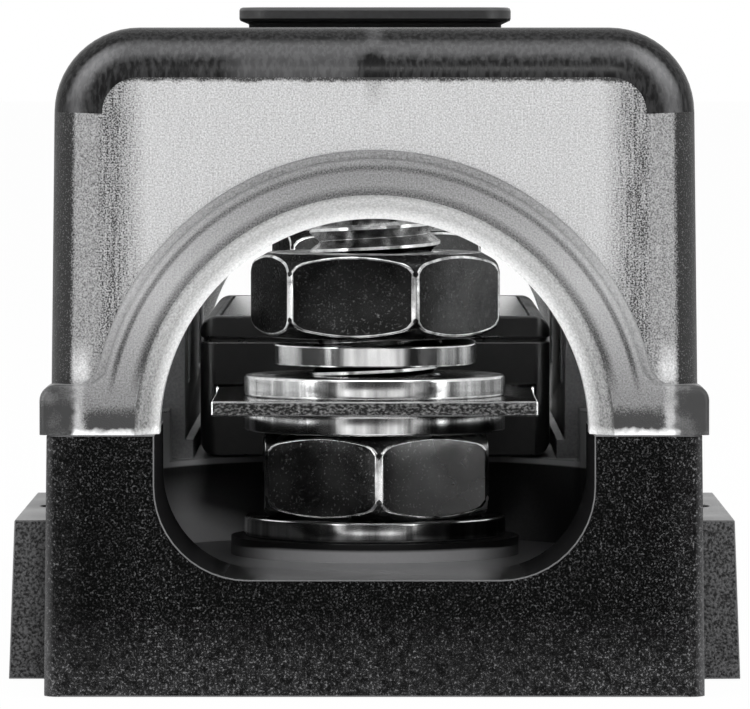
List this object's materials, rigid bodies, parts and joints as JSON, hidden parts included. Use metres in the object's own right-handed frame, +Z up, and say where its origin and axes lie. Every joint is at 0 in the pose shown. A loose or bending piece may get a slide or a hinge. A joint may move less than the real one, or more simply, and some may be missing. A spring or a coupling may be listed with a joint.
{
  "type": "bolt-down strip fuse holder",
  "caption": "Strip fuse holder: black moulded base with cable channels, clear arched lift-off cover, threaded studs with nuts and washers clamping a slotted strip fuse",
  "frame": {"origin": "middle of the base's underside", "axes": "+Z up through the cover, Y along the holder with the front end at -Y, +X to the right seen from the front"},
  "size_m": [0.0436, 0.105, 0.0403],
  "materials": {
    "base_plastic": "spark-textured black",
    "clear_cover": "clear, frosted end walls",
    "plate_plastic": "satin black",
    "stud_steel": "plated thread",
    "bright_steel": "bright stainless",
    "spring_steel": "plated spring steel",
    "fuse_metal": "tinned strip",
    "fuse_plastic": "smooth black",
    "fuse_window": "clear"
  },
  "bodies": {
    "holder": {"base": "base_plastic", "fuse_strip": "fuse_metal", "fuse_housing": "fuse_plastic", "fuse_window": "fuse_window", "front_stud": "stud_steel", "front_base_washer": "bright_steel", "front_lower_nut": "bright_steel", "front_contact_washer": "bright_steel", "front_upper_washer": "bright_steel", "front_spring_washer": "spring_steel", "rear_stud": "stud_steel", "rear_base_washer": "bright_steel", "rear_lower_nut": "bright_steel", "rear_contact_washer": "bright_steel", "rear_upper_washer": "bright_steel", "rear_spring_washer": "spring_steel"},
    "cover": {"cover": "clear_cover", "top_plate": "plate_plastic"},
    "front_nut": {"front_top_nut": "bright_steel"},
    "rear_nut": {"rear_top_nut": "bright_steel"}
  },
  "joints": [
    {"name": "cover_lift", "type": "slide", "parent": "holder", "child": "cover", "axis": [0, 0, 1], "range_m": [0, 0.045]},
    {"name": "front_nut_turn", "type": "hinge", "parent": "holder", "child": "front_nut", "pos_m": [0, -0.03075, 0.0227], "axis": [0, 0, 1], "continuous": true},
    {"name": "rear_nut_turn", "type": "hinge", "parent": "holder", "child": "rear_nut", "pos_m": [0, 0.03075, 0.0227], "axis": [0, 0, 1], "continuous": true}
  ]
}
